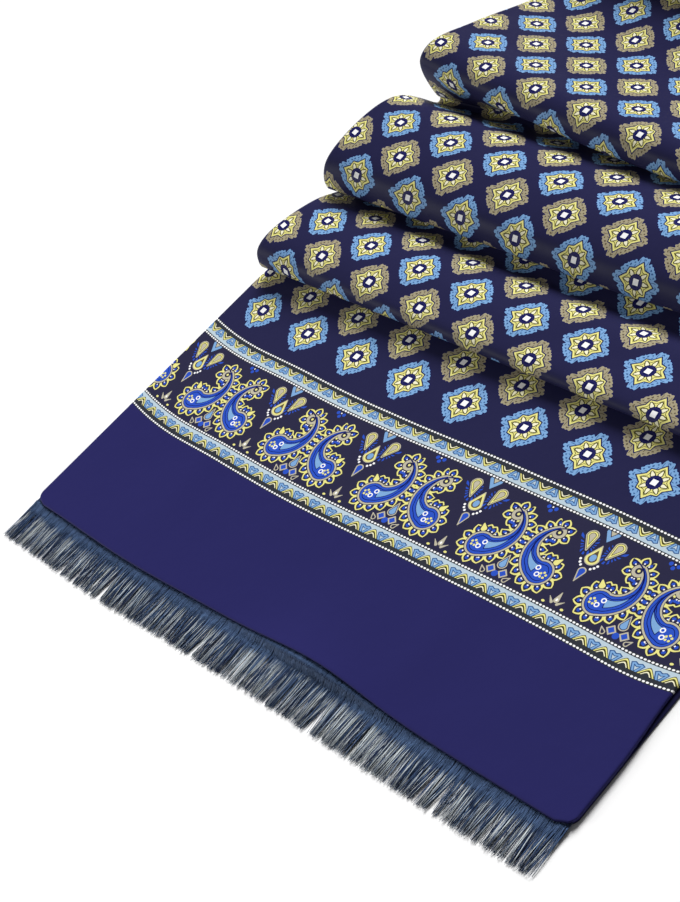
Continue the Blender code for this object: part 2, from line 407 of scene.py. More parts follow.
def to_side(x):
    """The distance to the nearer side edge."""
    return np.minimum(x, SCARF_WIDTH - x)


def fall_away(to_edge, radius):
    """How far a rounded edge has fallen away at a distance from it."""
    inside = np.clip(radius - to_edge, 0.0, radius)
    return radius - np.sqrt(np.maximum(radius**2 - inside**2, 0.0))


def corner_draw(x):
    """How far the hem draws back as it rounds a corner of the scarf."""
    return fall_away(to_side(x), CORNER_RADIUS)


def place(x, y, z):
    """A point of the frame in metres, as an array of x, y and z."""
    return np.stack(
        [LEFT_EDGE_X + np.asarray(x) * MM, NEAR_HEM_Y + np.asarray(y) * MM, np.asarray(z) * MM],
        axis=-1,
    )


def column_places():
    """The columns across a panel: close together at the rims, which are rounded, and then even."""
    rim = np.array(RIM_STEPS)
    inner = SCARF_WIDTH - 2 * rim[-1]
    count = int(round(inner / COLUMN_PITCH))
    even = rim[-1] + inner * np.arange(1, count) / count
    return np.concatenate([rim, even, SCARF_WIDTH - rim[::-1]])


COLUMN_PLACES = column_places()
SECTIONS = [Section(x / SCARF_WIDTH) for x in COLUMN_PLACES]
ROW_Y = np.array([section.points[:, 0] for section in SECTIONS])
ROW_UP = np.array([section.points[:, 1] for section in SECTIONS])
FACE_Y = np.array([section.facing[:, 0] for section in SECTIONS])
FACE_UP = np.array([section.facing[:, 1] for section in SECTIONS])
ROW_S = np.array([section.s for section in SECTIONS])


def peeks(s):
    """How far the back panel shows past the front one at the left and the right edge."""
    far = SCARF_LENGTH - s
    left = LEFT_PEEK * ramp(s, LEFT_PEEK_START, LEFT_PEEK_FULL)
    right = RIGHT_PEEK * ramp(s, RIGHT_PEEK_START, RIGHT_PEEK_FULL)
    return left * ramp(far, 0.0, LEFT_PEEK_FULL), right * ramp(far, 0.0, RIGHT_PEEK_FULL)


def panel_points(depth, full_width, turn_in):
    """The points of one face of a panel, columns by rows. depth is an array of how deep the
    face lies below the printed side, and turn_in how far it turns in at the rims."""
    x = np.broadcast_to(COLUMN_PLACES[:, None], ROW_S.shape)
    raised = relief(x, ROW_S) * np.clip(ROW_UP / CREASE_RISE + CREASE_ON_TABLE, 0.0, 1.0)
    lift, draw = hem_lift(x, ROW_S)
    at_near_hem = bell(ROW_S, 0.0, CORNER_FADE)
    hem = corner_draw(x) * (at_near_hem - bell(ROW_S, SCARF_LENGTH, CORNER_FADE))
    deep = depth - raised
    y = ROW_Y - FACE_Y * deep + draw + hem
    up = ROW_UP - FACE_UP * deep + lift
    left, right = peeks(ROW_S)
    if full_width:
        left, right = np.zeros_like(left), np.zeros_like(right)
    wide = SCARF_WIDTH - left - right
    to_hem = np.minimum(ROW_S, SCARF_LENGTH - ROW_S)
    to_rim = np.minimum(to_side(COLUMN_PLACES)[:, None], to_hem)
    sink = turn_in * fall_away(to_rim, RIM_RADIUS) / RIM_RADIUS
    y = y - FACE_Y * sink
    up = up - FACE_UP * sink
    return place(left + wide * x / SCARF_WIDTH, y, np.maximum(up + CLOTH, UNDERSIDE))


def add_object(name, data):
    """A new object in the scene that shows some data."""
    thing = bpy.data.objects.new(name, data)
    bpy.context.scene.collection.objects.link(thing)
    return thing


def face_outwards(mesh):
    """Turns the faces of a closed mesh outwards."""
    work = bmesh.new()
    work.from_mesh(mesh)
    bmesh.ops.recalc_face_normals(work, faces=work.faces)
    work.to_mesh(mesh)
    work.free()


def closed_wall(name, top, bottom, places):
    """A closed thin wall between two faces of points, columns by rows. The points' places on
    the cloth become its UV map "cloth", in millimetres."""
    columns, rows = top.shape[:2]
    count = columns * rows
    index = np.arange(count).reshape(columns, rows)
    a, b = index[:-1, :-1], index[1:, :-1]
    c, d = index[1:, 1:], index[:-1, 1:]
    upper = np.stack([a, b, c, d], axis=-1).reshape(-1, 4)
    lower = np.stack([a, d, c, b], axis=-1).reshape(-1, 4) + count
    faces = [upper, lower]
    edges = ((index[0], 1), (index[-1], -1), (index[:, 0], -1), (index[:, -1], 1))
    for edge, order in edges:
        start, end = edge[:-1], edge[1:]
        loop = [start, end, end + count, start + count]
        faces.append(np.stack(loop[::order], axis=-1))
    faces = np.vstack(faces)
    mesh = bpy.data.meshes.new(name)
    points = np.vstack([top.reshape(-1, 3), bottom.reshape(-1, 3)])
    mesh.from_pydata(points.tolist(), [], faces.tolist())
    layer = mesh.uv_layers.new(name="cloth")
    corners = faces.reshape(-1) % count
    layer.uv.foreach_set("vector", places.reshape(-1, 2)[corners].ravel())
    mesh.update()
    mesh.shade_smooth()
    face_outwards(mesh)
    return add_object(name, mesh)


def make_panel(name, top, bottom):
    """One panel of silk, between its upper and its lower face."""
    slant = PRINT_SLANT * np.clip(ROW_S / SLANT_LENGTH, 0.0, 1.0) ** SLANT_CURVE
    x = COLUMN_PLACES[:, None] - slant
    return closed_wall(name, top, bottom, np.stack([x, ROW_S - print_shift(x, ROW_S)], axis=-1))


def taken_up():
    """How much closer together the panels lie in the folds."""
    return TAKE_UP * ramp(ROW_UP, 0.0, TAKE_UP_HEIGHT)


def make_front():
    """The printed panel."""
    inner = CLOTH - BACK_WALL - taken_up() - RIM_GAP
    at_rim = 1.0 - ramp(to_side(COLUMN_PLACES)[:, None], *THICK_RIM)
    depth = FRONT_WALL + (inner - FRONT_WALL) * at_rim
    top = panel_points(np.zeros_like(ROW_S), False, FRONT_TURNS[0])
    return make_panel("printed_panel", top, panel_points(depth, False, FRONT_TURNS[1]))


def make_back():
    """The plain panel under it."""
    depth = CLOTH - taken_up()
    top = panel_points(depth - BACK_WALL, True, BACK_TURNS[0])
    return make_panel("plain_panel", top, panel_points(depth, True, BACK_TURNS[1]))


# ---------------------------------------------------------------- sums made of shader nodes


def operation(name):
    """A method of Field that adds one kind of math node."""
    return lambda field, *others: field.sum(name, *others)


class Field:
    """A number at each point of a surface, as an output of a node tree. Arithmetic on it adds
    the node that works it out."""

    def __init__(self, tree, socket):
        self.tree = tree
        self.socket = socket

    def sum(self, operation, *others):
        node = self.tree.nodes.new("ShaderNodeMath")
        node.operation = operation
        for entry, value in zip(node.inputs, (self, *others)):
            if isinstance(value, Field):
                self.tree.links.new(value.socket, entry)
            else:
                entry.default_value = value
        return Field(self.tree, node.outputs[0])

    __add__ = operation("ADD")
    __sub__ = operation("SUBTRACT")
    __mul__ = __and__ = operation("MULTIPLY")
    __truediv__ = operation("DIVIDE")
    __lt__ = operation("LESS_THAN")
    __gt__ = operation("GREATER_THAN")
    size = operation("ABSOLUTE")
    least = operation("MINIMUM")
    most = operation("MAXIMUM")
    power = operation("POWER")
    sine = operation("SINE")
    over_angle = operation("ARCTAN2")

    def __neg__(self):
        return self * -1.0

    def near(self, value, reach):
        """1 within reach of a value, and 0 elsewhere."""
        return (self - value).size() < reach

    def to_nearest(self, half_pitch):
        """The distance to the nearest multiple of twice half_pitch."""
        return self.sum("PINGPONG", half_pitch)

    def clamped(self):
        field = self + 0.0
        field.socket.node.use_clamp = True
        return field

    def pick(self, other, mask):
        """This field, or the other one where mask is 1."""
        return self + (-self + other) * mask


def least_of(fields):
    """The least of several fields."""
    return reduce(Field.least, fields)


def hypotenuse(a, b):
    """The length of (a, b)."""
    return (a * a + b * b).sum("SQRT")


def from_point(x, y, at):
    """The distance of (x, y) from a point."""
    return hypotenuse(x - at[0], y - at[1])


def angle_about(x, y, at):
    """The angle at which (x, y) lies about a point."""
    return (x - at[0]).over_angle(y - at[1])


def tapered(x, y, start, start_radius, end, end_radius):
    """The distance from the outline of a drop, negative inside it: round at its start, and
    narrowing to its end."""
    run = (end[0] - start[0], end[1] - start[1])
    square = run[0] ** 2 + run[1] ** 2
    from_x = x - start[0]
    from_y = y - start[1]
    share = (from_x * (run[0] / square) + from_y * (run[1] / square)).clamped()
    beside = hypotenuse(from_x - share * run[0], from_y - share * run[1])
    return beside - (share * (end_radius - start_radius) + start_radius)


class Paint:
    """A colour built up in coats, each laid over the ones before it where its mask is 1."""

    def __init__(self, tree, colour):
        self.tree = tree
        self.colour = colour

    def coat(self, colour, mask):
        node = self.tree.nodes.new("ShaderNodeMix")
        node.data_type = "RGBA"
        self.tree.links.new(mask.socket, node.inputs[0])
        for entry, value in ((node.inputs[6], self.colour), (node.inputs[7], colour)):
            if isinstance(value, bpy.types.NodeSocket):
                self.tree.links.new(value, entry)
            else:
                entry.default_value = value
        self.colour = node.outputs[2]

    def coats(self, field, limits, where=None):
        """Coats inside one another, each where the field is below its own limit."""
        for colour, limit in limits:
            mask = field < limit
            self.coat(colour, mask if where is None else mask & where)

    def drops(self, x, y, *motifs):
        """Drops at (x, y), each with its coats."""
        for drop, limits in motifs:
            self.coats(tapered(x, y, *drop), limits)

    def spots(self, x, y, *motifs):
        """Round or oval spots at (x, y)."""
        for at, squeeze, radius, colour in motifs:
            away = hypotenuse((x - at[0]) * squeeze[0], (y - at[1]) * squeeze[1])
            self.coat(colour, away < radius)


# ---------------------------------------------------------------- the print

# A motif's coats are its colours, each laid where the motif's field is below the number. A drop
# for tapered() is its start, its radius there, its end, and its radius there. A spot has its
# place, how much narrower and lower than round it is, its radius and its colour. A line is
# where a field is near a value: that value, and half the line's width.

NAVY = srgb(40, 39, 91)
FIELD_NAVY = srgb(38, 38, 72)
DEEP = srgb(44, 43, 68)
BLACK = srgb(50, 53, 60)
LIGHT_BLUE = srgb(124, 166, 212)
DASH_BLUE = srgb(50, 88, 140)
ROYAL = srgb(46, 82, 190)
INK_BLUE = srgb(18, 22, 84)
TAN = srgb(164, 155, 128)
PALE_TAN = srgb(188, 182, 160)
DASH_TAN = srgb(92, 80, 62)
YELLOW = srgb(232, 226, 138)
OLIVE = srgb(70, 66, 22)
CREAM = srgb(244, 240, 206)
WHITE = srgb(252, 252, 252)
PALE = srgb(184, 202, 213)

# The field: rows of medallions, every other row shifted by half a pitch and in tan
MEDALLION_PITCH = 31.54
MEDALLION_ROW = 16.64
FIRST_MEDALLION_X = 18.3
FIRST_MEDALLION_S = 126.0
FIELD_MARGIN = 13.0
# A medallion's round lobes, in an eighth of it that mirrors into the rest: where, and how big
LOBES = (
    ((0.0, 0.0), 7.9),
    ((8.0, 0.0), 2.85),
    ((7.3, 3.9), 1.2),
    ((5.1, 5.1), 2.2),
)
SIDE_BUMP = (10.9, 0.0)
SIDE_BUMP_RADIUS = 0.75
OUTLINE = 0.3
# The small waves of its outline: how many in a radian, and how deep
EDGE_WAVES = 28.0
EDGE_WAVE = 0.33
# Dashes and rays are where a wave is above WAVE_CUT
DASH_LINE = (-1.0, 0.26)
DASH_START = 1.2
WAVE_CUT = 0.1
# Its star's sides, each as the slope of its outward direction and its distance from the middle
STAR_SIDES = ((0.611, 0.792, 5.0), (0.981, 0.192, 5.55))
STAR_COATS = ((INK_BLUE, 0.5), (YELLOW, 0.0))
STAR_LINE = (-0.95, 0.13)
MEDALLION_PETALS = (((2.7, 2.7), 0.8, (3.7, 3.7), 0.35), ((3.9, 0.0), 0.75, (5.4, 0.0), 0.3))
MEDALLION_PETAL_COATS = ((OLIVE, 0.42), (CREAM, 0.0))
EYE_RADIUS = 3.25
EYE_RING = (2.5, 0.3)
SQUARE_HALF = 1.3

# The border, as distances from its middle line
BORDER_MIDDLE = 82.4
PEARL_PITCH = MEDALLION_PITCH / 20
PEARL_RADIUS = 0.4
PEARL_STRETCH = 0.7
OUTER_PEARLS = 26.9
OUTER_GROUND = 0.7
STRIP = (22.5, 2.6)
STRIP_OUTER = sum(STRIP)
INNER_PEARLS = 19.3
INNER_GROUND = (INNER_PEARLS, 0.75)
BAND_HALF = 18.6
# It mirrors about lines that are half a repeat apart, the first of them at FIRST_MIRROR_X
HALF_REPEAT = 0.9 * MEDALLION_PITCH
FIRST_MIRROR_X = 41.8

# A strip's arches and hearts, measured from the strip's outer edge. An arch's arms meet in a
# rounded tip. A heart has sloping sides, and its two lobes peak at HEART_LOBE from its middle.
ARCH_PITCH = HALF_REPEAT / 3
ARCH_TIP = 0.6
ARCH_SLOPE = 1.2
ARCH_COATS = ((OLIVE, 4.6), (YELLOW, 4.25), (OLIVE, 3.6), (CREAM, 2.85), (BLACK, 2.35))
HEART_SLOPE = 0.5
HEART_HALF = 0.75
HEART_LOBE = 1.3
HEART_LOBE_SLOPE = 0.45
HEART_TOP = 3.5
HEART_COATS = ((DASH_BLUE, 0.5), (LIGHT_BLUE, 0.05), (DASH_BLUE, -0.65), (PALE, -1.0))
STRIP_MOTIF_TOP = 4.2
STRIP_LINE = 0.2

# The paisley: a round head, and a body that narrows along an arc to a curl
ARC_CENTRE = (15.0, 84.6)
ARC_RADIUS = 10.6
ARC_TURN = 2.55
ARC_NARROWING = 1.35
ARC_END_SLOPE = 30.0
HEAD_CENTRE = (14.6, 74.0)
HEAD_RADIUS = 5.35
TAIL_HALF = 0.75
CURL_CENTRE = (9.9, 91.6)
CURL_RADIUS = 1.9
CURL_RIM = 0.45
CURL_RING = (0.9, 0.5)
CURL_EYE = 0.6
PAISLEY_COATS = ((DEEP, 0.6), (PALE_TAN, 0.35))
BODY_COATS = ((INK_BLUE, -0.4), (ROYAL, -0.65))
VEIN_INSET = 1.75
VEIN_HALF = 0.15
VEIN_WAVES = 14.0
VEIN_WAVE = 0.12
# The scallops round it: half their pitches, as angles, and their shapes
SCALLOP_OUTSIDE = 0.14
SCALLOP_WIDER_INSIDE = 0.17
SCALLOP_ON_HEAD = 0.3
SCALLOP_ON_CURL = 0.5
SCALLOP_FOOT = 1.2
SCALLOP_HIGH = 2.9
SCALLOP_SIDES = 0.92
SCALLOP_COATS = ((OLIVE, 1.06), (YELLOW, 0.98), (DEEP, 0.64))
SCALLOP_EYE = ((0.0, 1.9), (1.0, 1.0 / 1.7), 0.36, ROYAL)
SCALLOP_DOT = ((0.0, 1.1), (1.6, 1.0), 0.3, WHITE)
# What is in it and on it
TAIL_PETAL = (((17.7, 80.4), 1.25, (18.9, 82.3), 0.3), ((DEEP, 0.55), (YELLOW, 0.0)))
FLAME_RADIUS = 10.3
FLAME_HALF = 1.7
FLAME_TIP = 1.15
FLAME_TURN = 0.85
FLAME_START = 0.3
FLAME_START_SLOPE = 10.0
FLAME_COATS = ((INK_BLUE, 0.3), (LIGHT_BLUE, 0.0))
LOOP_CENTRES = ((13.0, 75.6), (14.3, 73.0))
LOOP_LINE = (0.85, 0.24)
DOTS_CENTRE = (16.7, 73.6)
DOTS_RADIUS = 1.15
DOT_COUNT = 5
DOT_SIZE = 0.5

# The teardrop and the rays round its tip
TEARDROP = ((22.0, 96.0), 2.6, (23.7, 90.0), 0.45)
TEARDROP_COATS = (
    (PALE_TAN, 0.0),
    (OLIVE, -0.42),
    (YELLOW, -0.62),
    (OLIVE, -1.15),
    (PALE_TAN, -1.4),
)
RAYS_CENTRE = (23.2, 92.5)
RAY_WAVES = 15.0
RAYS_LINE = (1.25, 0.6)

# On the mirror line between two pairs: the first number of a place is the distance from it
CHEVRON_TIP = 97.2
CHEVRON_SLOPE = 1.45
CHEVRON_HALF = 1.25
CHEVRON_WIDE = 2.9
CHEVRON_TOP = 101.4
CHEVRON_FILL = 1.8
CHEVRON_FILL_TOP = 101.0
FLOWER = (
    ((0.0, 88.0), 3.1, (0.0, 93.9), 0.3),
    ((PALE_TAN, 0.0), (YELLOW, -0.42), (DASH_TAN, -1.2)),
)
FLOWER_EYE = ((0.0, 88.2), (1.0, 0.8), 1.25, LIGHT_BLUE)
BEADS_CENTRE = (0.0, 87.4)
BEADS_RADIUS = 4.2
BEADS_FROM = 0.9
BEAD_HALF_PITCH = 0.17
BEAD_SIZE = 0.52
BEADS_ARC = (0.95, 0.5)
LEAF_TIP = (((0.0, 81.7), 1.8, (0.0, 77.0), 0.2), ((PALE_TAN, 0.0), (ROYAL, -0.5)))
SPRIG = (((0.0, 67.4), 1.15, (0.0, 71.0), 0.15), ((PALE_TAN, 0.0),))
TWIG = (((1.3, 66.0), 0.6, (3.4, 68.0), 0.1), ((PALE_TAN, 0.0),))
SPRIG_DOT = ((0.0, 67.6), (1.4, 1.0), 0.6, WHITE)
SPRIG_BUD = ((4.4, 65.0), (0.7, 1.0), 0.5, YELLOW)

# On the mirror line inside a pair
LEAF = (
    ((0.0, 70.6), 2.1, (0.0, 75.2), 0.2),
    ((PALE_TAN, 0.0), (INK_BLUE, -0.45), (LIGHT_BLUE, -0.75)),
)
LOZENGE = (2.9, 67.2)
LOZENGE_COATS = ((PALE_TAN, 2.3), (ROYAL, 1.5))
SIDE_LEAF = (((5.3, 65.1), 1.1, (6.9, 66.8), 0.2), ((PALE_TAN, 0.0), (DEEP, -0.45)))
ROUND = (1.0, 1.0)
PETAL_SPOTS = (
    ((0.0, 66.0), ROUND, 1.35, ROYAL),
    ((0.0, 98.3), ROUND, 0.85, ROYAL),
    ((1.7, 99.7), ROUND, 0.85, ROYAL),
    ((0.0, 100.0), ROUND, 0.34, WHITE),
)


def paint_medallions(paint, x, s):
    """The field's medallions, blue in one row and tan in the next."""
    along = (x - FIRST_MEDALLION_X).to_nearest(MEDALLION_PITCH / 2)
    up = (s - FIRST_MEDALLION_S).to_nearest(MEDALLION_ROW)
    tan = (along / (MEDALLION_PITCH / 2) + up / MEDALLION_ROW) > 1.0
    along = along + tan * (-along * 2.0 + MEDALLION_PITCH / 2)
    up = up + tan * (-up * 2.0 + MEDALLION_ROW)
    half_field = SCARF_LENGTH / 2 - FIRST_MEDALLION_S + FIELD_MARGIN / 2
    here = (s - tan * FIELD_MARGIN - (SCARF_LENGTH - FIELD_MARGIN) / 2).size() < half_field
    a = along.most(up)
    b = along.least(up)
    edge = least_of(from_point(a, b, centre) - radius for centre, radius in LOBES)
    angle = b.over_angle(a)
    edge = edge + (angle * EDGE_WAVES).sine() * EDGE_WAVE
    edge = edge.least(from_point(along, up, SIDE_BUMP) - SIDE_BUMP_RADIUS)
    ring = Paint(paint.tree, LIGHT_BLUE)
    ring.coat(TAN, tan)
    dash = Paint(paint.tree, DASH_BLUE)
    dash.coat(DASH_TAN, tan)
    paint.coats(edge, ((INK_BLUE, OUTLINE), (ring.colour, 0.0)), here)
    broken = (angle * EDGE_WAVES + DASH_START).sine() > WAVE_CUT
    paint.coat(dash.colour, edge.near(*DASH_LINE) & broken & here)
    star = least_of(a * slope_a + b * slope_b - far for slope_a, slope_b, far in STAR_SIDES)
    paint.coats(star, STAR_COATS, here)
    paint.coat(OLIVE, star.near(*STAR_LINE) & here)
    petals = least_of(tapered(a, b, *drop) for drop in MEDALLION_PETALS)
    paint.coats(petals, MEDALLION_PETAL_COATS, here)
    middle = hypotenuse(a, b)
    paint.coat(INK_BLUE, (middle < EYE_RADIUS) & here)
    paint.coat(NAVY, middle.near(*EYE_RING) & here)
    paint.coat(WHITE, (a < SQUARE_HALF) & here)


def paint_strips(paint, across, h, x):
    """The two strips of arches and hearts between lines of pearls. h is the distance from the
    border's middle line, and across the distance from its nearest mirror line."""
    strip = h.near(*STRIP)
    paint.coat(BLACK, (h > BAND_HALF) & (h < OUTER_PEARLS + OUTER_GROUND))
    paint.coat(PALE, strip)
    up = -h + STRIP_OUTER
    from_arch = across.to_nearest(ARCH_PITCH / 2)
    from_heart = -from_arch + ARCH_PITCH / 2
    in_strip = strip & (up < STRIP_MOTIF_TOP)
    arms = (from_arch * from_arch + ARCH_TIP).sum("SQRT") * ARCH_SLOPE + up
    lobes = up + (from_heart - HEART_LOBE).size() * HEART_LOBE_SLOPE - HEART_TOP
    heart = (from_heart - up * HEART_SLOPE - HEART_HALF).most(lobes)
    paint.coats(heart, HEART_COATS, in_strip)
    paint.coats(arms, ARCH_COATS, in_strip)
    paint.coat(BLACK, (up < STRIP_LINE) & strip)
    pearl_x = x.to_nearest(PEARL_PITCH / 2) * PEARL_STRETCH
    pearls = least_of(hypotenuse(pearl_x, h - line) for line in (OUTER_PEARLS, INNER_PEARLS))
    paint.coat(BLACK, h.near(*INNER_GROUND))
    paint.coat(WHITE, pearls < PEARL_RADIUS)


def paint_scallops(paint, turn, w, t, fields):
    """The ring of scallops round a paisley. They stand on whichever is the nearest outline of
    the three that make it up: the arc of its body, its head or its curl."""
    radius, arc, head, curl = fields
    body = arc.least(head)
    outside = body.least(curl)
    on_head = head < arc
    on_curl = curl < body
    inside_arc = radius < ARC_RADIUS
    head_angle = (w - HEAD_CENTRE[0]).over_angle(-t + HEAD_CENTRE[1])
    curl_angle = angle_about(w, t, CURL_CENTRE)
    angle = turn.pick(head_angle, on_head).pick(curl_angle, on_curl)
    pitch = inside_arc * SCALLOP_WIDER_INSIDE + SCALLOP_OUTSIDE
    pitch = pitch.pick(SCALLOP_ON_HEAD, on_head).pick(SCALLOP_ON_CURL, on_curl)
    beside = angle.to_nearest(pitch) / pitch
    rise = (outside - SCALLOP_FOOT) / SCALLOP_HIGH
    paint.coats(beside * SCALLOP_SIDES + rise * rise, SCALLOP_COATS)
    paint.spots(beside, outside, SCALLOP_EYE, SCALLOP_DOT)
    return body, outside


def paint_paisley(paint, w, t):
    """The paisley in its ring of scallops. w is the distance from the nearest mirror line, and
    t the distance from the hem."""
    down = -t + ARC_CENTRE[1]
    left = -w + ARC_CENTRE[0]
    radius = hypotenuse(down, left)
    turn = left.over_angle(down)
    share = (turn / ARC_TURN).clamped()
    half = (-share + 1.0).power(ARC_NARROWING) * (HEAD_RADIUS - TAIL_HALF) + TAIL_HALF
    beyond = ((turn - ARC_TURN / 2).size() - ARC_TURN / 2).most(0.0)
    arc = (radius - ARC_RADIUS).size() - half + beyond * ARC_END_SLOPE
    head = from_point(w, t, HEAD_CENTRE) - HEAD_RADIUS
    from_curl = from_point(w, t, CURL_CENTRE)
    curl = from_curl - CURL_RADIUS - CURL_RIM
    body, outside = paint_scallops(paint, turn, w, t, (radius, arc, head, curl))
    paint.drops(w, t, TAIL_PETAL)
    paint.coats(outside, PAISLEY_COATS)
    paint.coat(DEEP, from_curl.near(*CURL_RING))
    paint.coat(YELLOW, from_curl < CURL_EYE)
    paint.coats(body, BODY_COATS)
    vein = body + VEIN_INSET + (turn * VEIN_WAVES).sine() * VEIN_WAVE
    paint.coat(INK_BLUE, vein.size() < VEIN_HALF)

    # The flame, the loops and the dots in the body
    narrowing = ((-turn + FLAME_TIP) / FLAME_TURN).clamped() * FLAME_HALF
    flame = (radius - FLAME_RADIUS).size() - narrowing
    flame = flame.most((-turn + FLAME_START) * FLAME_START_SLOPE)
    paint.coats(flame, FLAME_COATS)
    loops = least_of(from_point(w, t, centre) for centre in LOOP_CENTRES)
    paint.coat(WHITE, loops.near(*LOOP_LINE))
    dot_angle = angle_about(w, t, DOTS_CENTRE).to_nearest(math.pi / DOT_COUNT)
    dots = hypotenuse(from_point(w, t, DOTS_CENTRE) - DOTS_RADIUS, dot_angle * DOTS_RADIUS)
    paint.coat(YELLOW, dots < DOT_SIZE)


def paint_teardrops(paint, w, t):
    """A leaning teardrop, with short blue strokes round its tip."""
    drop = tapered(w, t, *TEARDROP)
    rays = (angle_about(w, t, RAYS_CENTRE) * RAY_WAVES).sine() > WAVE_CUT
    paint.coat(ROYAL, drop.near(*RAYS_LINE) & rays & (t < TEARDROP[0][1]))
    paint.coats(drop, TEARDROP_COATS)


def paint_flower(paint, w, t):
    """On the mirror line between two pairs: a chevron, a flower, a leaf tip and a sprig."""
    beside = -w + HALF_REPEAT
    chevron = (t - CHEVRON_TIP) - beside * CHEVRON_SLOPE
    arms = (chevron.size() < CHEVRON_HALF) & (beside < CHEVRON_WIDE) & (t < CHEVRON_TOP)
    paint.coat(LIGHT_BLUE, arms)
    paint.coat(PALE_TAN, (chevron > CHEVRON_FILL) & (t < CHEVRON_FILL_TOP))
    paint.drops(beside, t, FLOWER)
    paint.spots(beside, t, FLOWER_EYE)
    around = beside.over_angle(-t + BEADS_CENTRE[1])
    along = (around - BEADS_FROM).to_nearest(BEAD_HALF_PITCH) * BEADS_RADIUS
    beads = hypotenuse(from_point(beside, t, BEADS_CENTRE) - BEADS_RADIUS, along)
    paint.coat(WHITE, (beads < BEAD_SIZE) & around.near(*BEADS_ARC))
    paint.drops(beside, t, LEAF_TIP, SPRIG, TWIG)
    paint.spots(beside, t, SPRIG_DOT, SPRIG_BUD)


def paint_leaves(paint, w, t):
    """On the mirror line inside a pair: a leaf over four lozenges, and a few blue petals."""
    paint.drops(w, t, LEAF)
    paint.coats((w - LOZENGE[0]).size() + (t - LOZENGE[1]).size(), LOZENGE_COATS)
    paint.drops(w, t, SIDE_LEAF)
    paint.spots(w, t, *PETAL_SPOTS)


def paint_print(tree, x, s):
    """The whole print, as a colour output."""
    t = s.least(-s + SCARF_LENGTH)
    h = (t - BORDER_MIDDLE).size()
    paint = Paint(tree, NAVY)
    paint.coat(FIELD_NAVY, t > BORDER_MIDDLE)
    paint_medallions(paint, x, s)
    w = (x - FIRST_MIRROR_X).to_nearest(HALF_REPEAT)
    band = Paint(tree, DEEP)
    paint_flower(band, w, t)
    paint_teardrops(band, w, t)
    paint_leaves(band, w, t)
    paint_paisley(band, w, t)
    paint.coat(band.colour, h < BAND_HALF)
    paint_strips(paint, w, h, x)
    return paint.colour


# ---------------------------------------------------------------- the materials

# The twill's pitch, how much each kind of unevenness counts in the bump, and the bump's depth
TWILL_PITCH = 0.55
TWILL_SHARE = 0.12
SLUB_SHARE = 0.4
SWELL_SHARE = 3.0
SILK_BUMP = 0.1
ROUGHNESS_SPREAD = 0.12
PRINTED_ROUGHNESS = 0.46
PLAIN_ROUGHNESS = 0.5
SILK_LOOK = {
    "Sheen Weight": 0.035,
    "Sheen Roughness": 0.4,
    "Sheen Tint": (0.4, 0.34, 1.0, 1.0),
    "Specular IOR Level": 0.08,
    "Anisotropic": 0.35,
}
PLAIN_NAVY = srgb(30, 30, 58)
PLAIN_LIGHTER = srgb(36, 35, 70)

# A thread is dark at a tone of 0, slate half way, and silver from SILVER_FROM on
THREAD_DARK = srgb(32, 42, 76)
THREAD_SLATE = srgb(82, 106, 142)
THREAD_SILVER = srgb(208, 216, 218)
SLATE_AT = 0.5
SILVER_FROM = 0.65
SILVER_OVER = 0.25
THREAD_LOOK = {"Roughness": 0.5, "Specular IOR Level": 0.25}

HEADER_DARK = srgb(28, 38, 66)
HEADER_SLATE = srgb(56, 74, 104)
HEADER_LOOK = {"Roughness": 0.62, "Specular IOR Level": 0.15}
RIB_PITCH = 0.62
PICK_PITCH = 0.5
HEADER_BUMP = 0.12


def new_material(name, look):
    """A new Principled material, with its tree and its shader. look holds the values that are
    the same all over it."""
    material = bpy.data.materials.new(name)
    material.use_nodes = True
    tree = material.node_tree
    shader = tree.nodes["Principled BSDF"]
    for entry, value in look.items():
        shader.inputs[entry].default_value = value
    return material, tree, shader


def cloth_places(tree):
    """The surface's x and s from its UV map, in millimetres."""
    places = tree.nodes.new("ShaderNodeUVMap")
    places.uv_map = "cloth"
    parts = tree.nodes.new("ShaderNodeSeparateXYZ")
    tree.links.new(places.outputs[0], parts.inputs[0])
    return places.outputs[0], Field(tree, parts.outputs[0]), Field(tree, parts.outputs[1])


def noise(tree, places, scale, detail=2.0):
    """Soft noise over the cloth, 0 to 1."""
    node = tree.nodes.new("ShaderNodeTexNoise")
    node.inputs["Scale"].default_value = scale
    node.inputs["Detail"].default_value = detail
    tree.links.new(places, node.inputs["Vector"])
    return Field(tree, node.outputs[0])


def ridges(along, pitch):
    """Even ridges across a direction, 0 to 1."""
    return (along * (2 * math.pi / pitch)).sine() * 0.5 + 0.5


def add_bump(tree, shader, height, distance):
    """Raises the surface by a field times a distance."""
    bump = tree.nodes.new("ShaderNodeBump")
    bump.inputs["Strength"].default_value = 1.0
    bump.inputs["Distance"].default_value = distance * MM
    tree.links.new(height.socket, bump.inputs["Height"])
    tree.links.new(bump.outputs[0], shader.inputs["Normal"])


def finish_silk(tree, shader, places, x, s, roughness):
    """The twill and the slight unevenness that both silks share."""
    twill = ridges(x + s, TWILL_PITCH)
    swell = noise(tree, places, scale=0.05, detail=3.0)
    slubs = noise(tree, places, scale=0.6)
    height = twill * TWILL_SHARE + slubs * SLUB_SHARE + swell * SWELL_SHARE
    add_bump(tree, shader, height, SILK_BUMP)
    rough = swell * ROUGHNESS_SPREAD + (roughness - ROUGHNESS_SPREAD / 2)
    tree.links.new(rough.socket, shader.inputs["Roughness"])


def printed_silk():
    """Navy silk with the border and the medallions."""
    material, tree, shader = new_material("printed_silk", SILK_LOOK)
    places, x, s = cloth_places(tree)
    tree.links.new(paint_print(tree, x, s), shader.inputs["Base Color"])
    finish_silk(tree, shader, places, x, s, PRINTED_ROUGHNESS)
    return material


